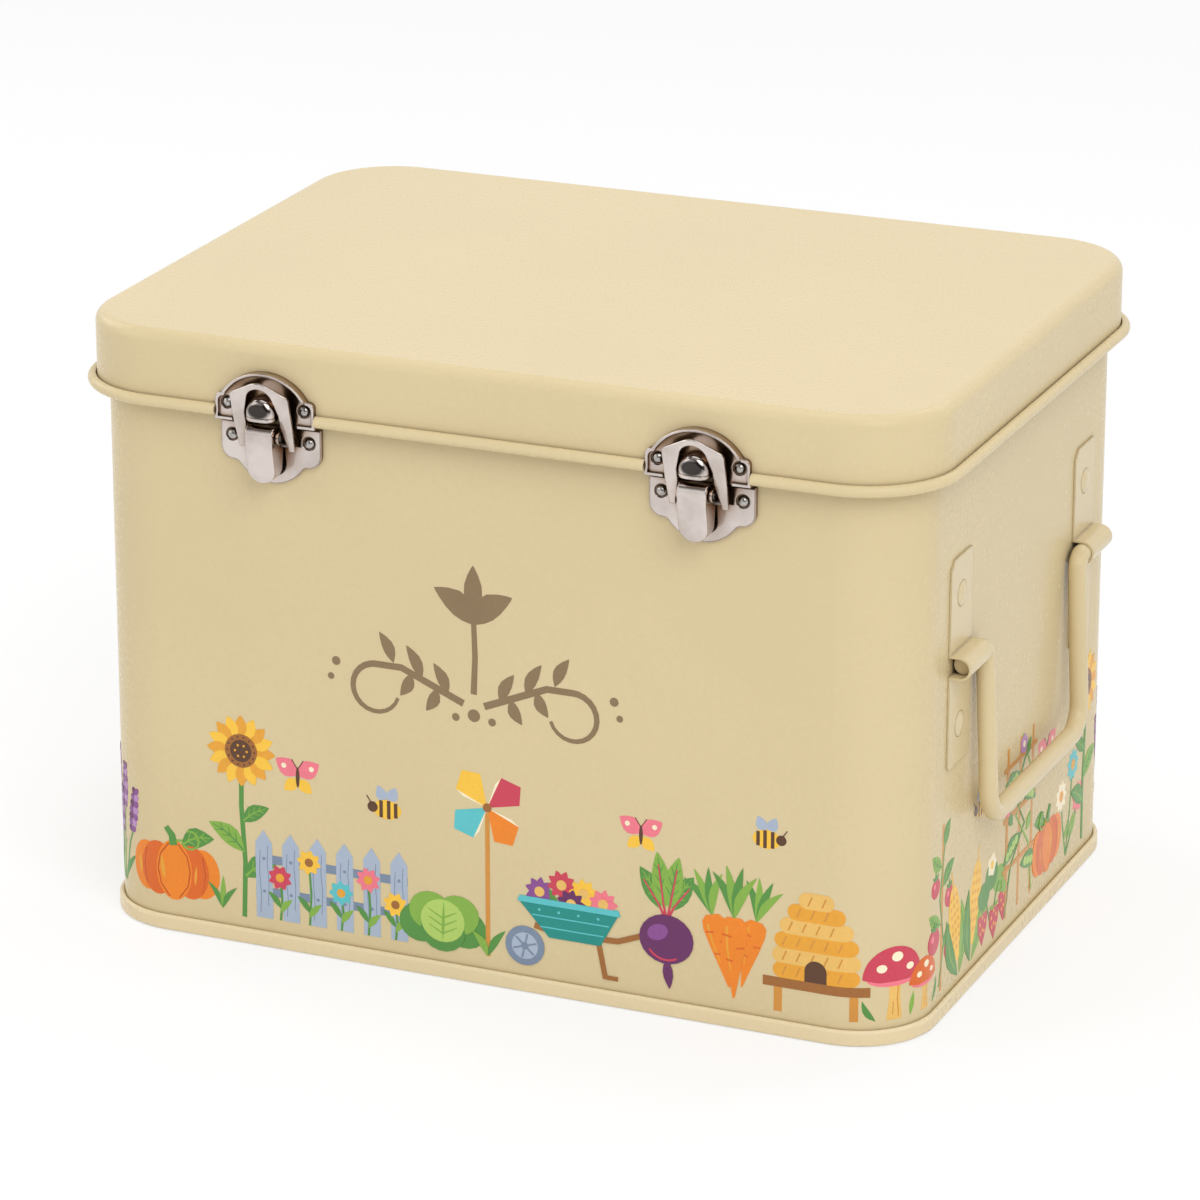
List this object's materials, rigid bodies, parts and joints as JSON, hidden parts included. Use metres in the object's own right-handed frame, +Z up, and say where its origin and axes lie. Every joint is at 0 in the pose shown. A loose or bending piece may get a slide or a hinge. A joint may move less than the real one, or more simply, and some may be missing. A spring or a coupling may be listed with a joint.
{
  "type": "seed organizer box",
  "caption": "Enamelled sheet-metal storage box with an overlapping hinged lid, draw latches, side bail handles and a lift-out compartment tray.",
  "frame": {"origin": "middle of the footprint, on the surface that the box stands on", "axes": "+X to the box's right along its long side, +Y to the hinges at the back, +Z up; the latches face -Y"},
  "size_m": [0.342, 0.2575, 0.235],
  "materials": {
    "body_enamel": "glossy cream enamel on sheet steel",
    "lid_enamel": "glossy cream enamel on sheet steel",
    "hardware_enamel": "glossy cream enamel over rod and strap steel",
    "inside_enamel": "satin cream enamel",
    "nickel_plate": "bright nickel plate on pressed steel",
    "zinc_rivet": "bright zinc plate",
    "steel_pin": "plain bright steel"
  },
  "bodies": {
    "base": {"body_shell": "body_enamel", "base_pan": "body_enamel", "lower_partition": "inside_enamel", "left_ledge": "inside_enamel", "right_ledge": "inside_enamel", "left_latch_base": "nickel_plate", "left_base_rivets": "zinc_rivet", "left_lever_pin": "steel_pin", "left_hinge_body_leaf": "nickel_plate", "left_hinge_pin": "steel_pin", "left_hinge_body_rivets": "zinc_rivet", "left_front_bracket": "hardware_enamel", "left_rear_bracket": "hardware_enamel", "left_bracket_rivets": "hardware_enamel", "right_latch_base": "nickel_plate", "right_base_rivets": "zinc_rivet", "right_lever_pin": "steel_pin", "right_hinge_body_leaf": "nickel_plate", "right_hinge_pin": "steel_pin", "right_hinge_body_rivets": "zinc_rivet", "right_front_bracket": "hardware_enamel", "right_rear_bracket": "hardware_enamel", "right_bracket_rivets": "hardware_enamel"},
    "lid": {"lid_shell": "lid_enamel", "left_catch_plate": "nickel_plate", "left_catch_rivets": "zinc_rivet", "left_hinge_lid_leaf": "nickel_plate", "left_hinge_lid_rivets": "zinc_rivet", "right_catch_plate": "nickel_plate", "right_catch_rivets": "zinc_rivet", "right_hinge_lid_leaf": "nickel_plate", "right_hinge_lid_rivets": "zinc_rivet"},
    "left_lever": {"left_lever": "nickel_plate", "left_link_pin": "steel_pin"},
    "left_link": {"left_link": "nickel_plate"},
    "left_handle": {"left_handle": "hardware_enamel"},
    "right_lever": {"right_lever": "nickel_plate", "right_link_pin": "steel_pin"},
    "right_link": {"right_link": "nickel_plate"},
    "right_handle": {"right_handle": "hardware_enamel"},
    "tray": {"tray_pan": "inside_enamel", "tray_long_divider": "inside_enamel", "tray_cross_dividers": "inside_enamel"}
  },
  "joints": [
    {"name": "lid_hinge", "type": "hinge", "parent": "base", "child": "lid", "pos_m": [0, 0.1246, 0.206], "axis": [-1, 0, 0], "range_deg": [0, 105]},
    {"name": "left_lever_pivot", "type": "hinge", "parent": "base", "child": "left_lever", "pos_m": [-0.0833, -0.125, 0.2017], "axis": [-1, 0, 0], "range_deg": [0, 95]},
    {"name": "left_link_pivot", "type": "hinge", "parent": "left_lever", "child": "left_link", "pos_m": [-0.0833, -0.1214, 0.1982], "axis": [-1, 0, 0], "range_deg": [-131.6, 0]},
    {"name": "left_handle_swing", "type": "hinge", "parent": "base", "child": "left_handle", "pos_m": [-0.1646, 0, 0.133], "axis": [0, 1, 0], "range_deg": [0, 175]},
    {"name": "right_lever_pivot", "type": "hinge", "parent": "base", "child": "right_lever", "pos_m": [0.0833, -0.125, 0.2017], "axis": [-1, 0, 0], "range_deg": [0, 95]},
    {"name": "right_link_pivot", "type": "hinge", "parent": "right_lever", "child": "right_link", "pos_m": [0.0833, -0.1214, 0.1982], "axis": [-1, 0, 0], "range_deg": [-131.6, 0]},
    {"name": "right_handle_swing", "type": "hinge", "parent": "base", "child": "right_handle", "pos_m": [0.1646, 0, 0.133], "axis": [0, -1, 0], "range_deg": [0, 175]},
    {"name": "tray_lift", "type": "slide", "parent": "base", "child": "tray", "axis": [0, 0, 1], "range_m": [0, 0.03]}
  ],
  "couplings": [
    {"joint": "left_link_pivot", "follows": "left_lever_pivot", "ratio": -1.385},
    {"joint": "right_link_pivot", "follows": "right_lever_pivot", "ratio": -1.385}
  ]
}
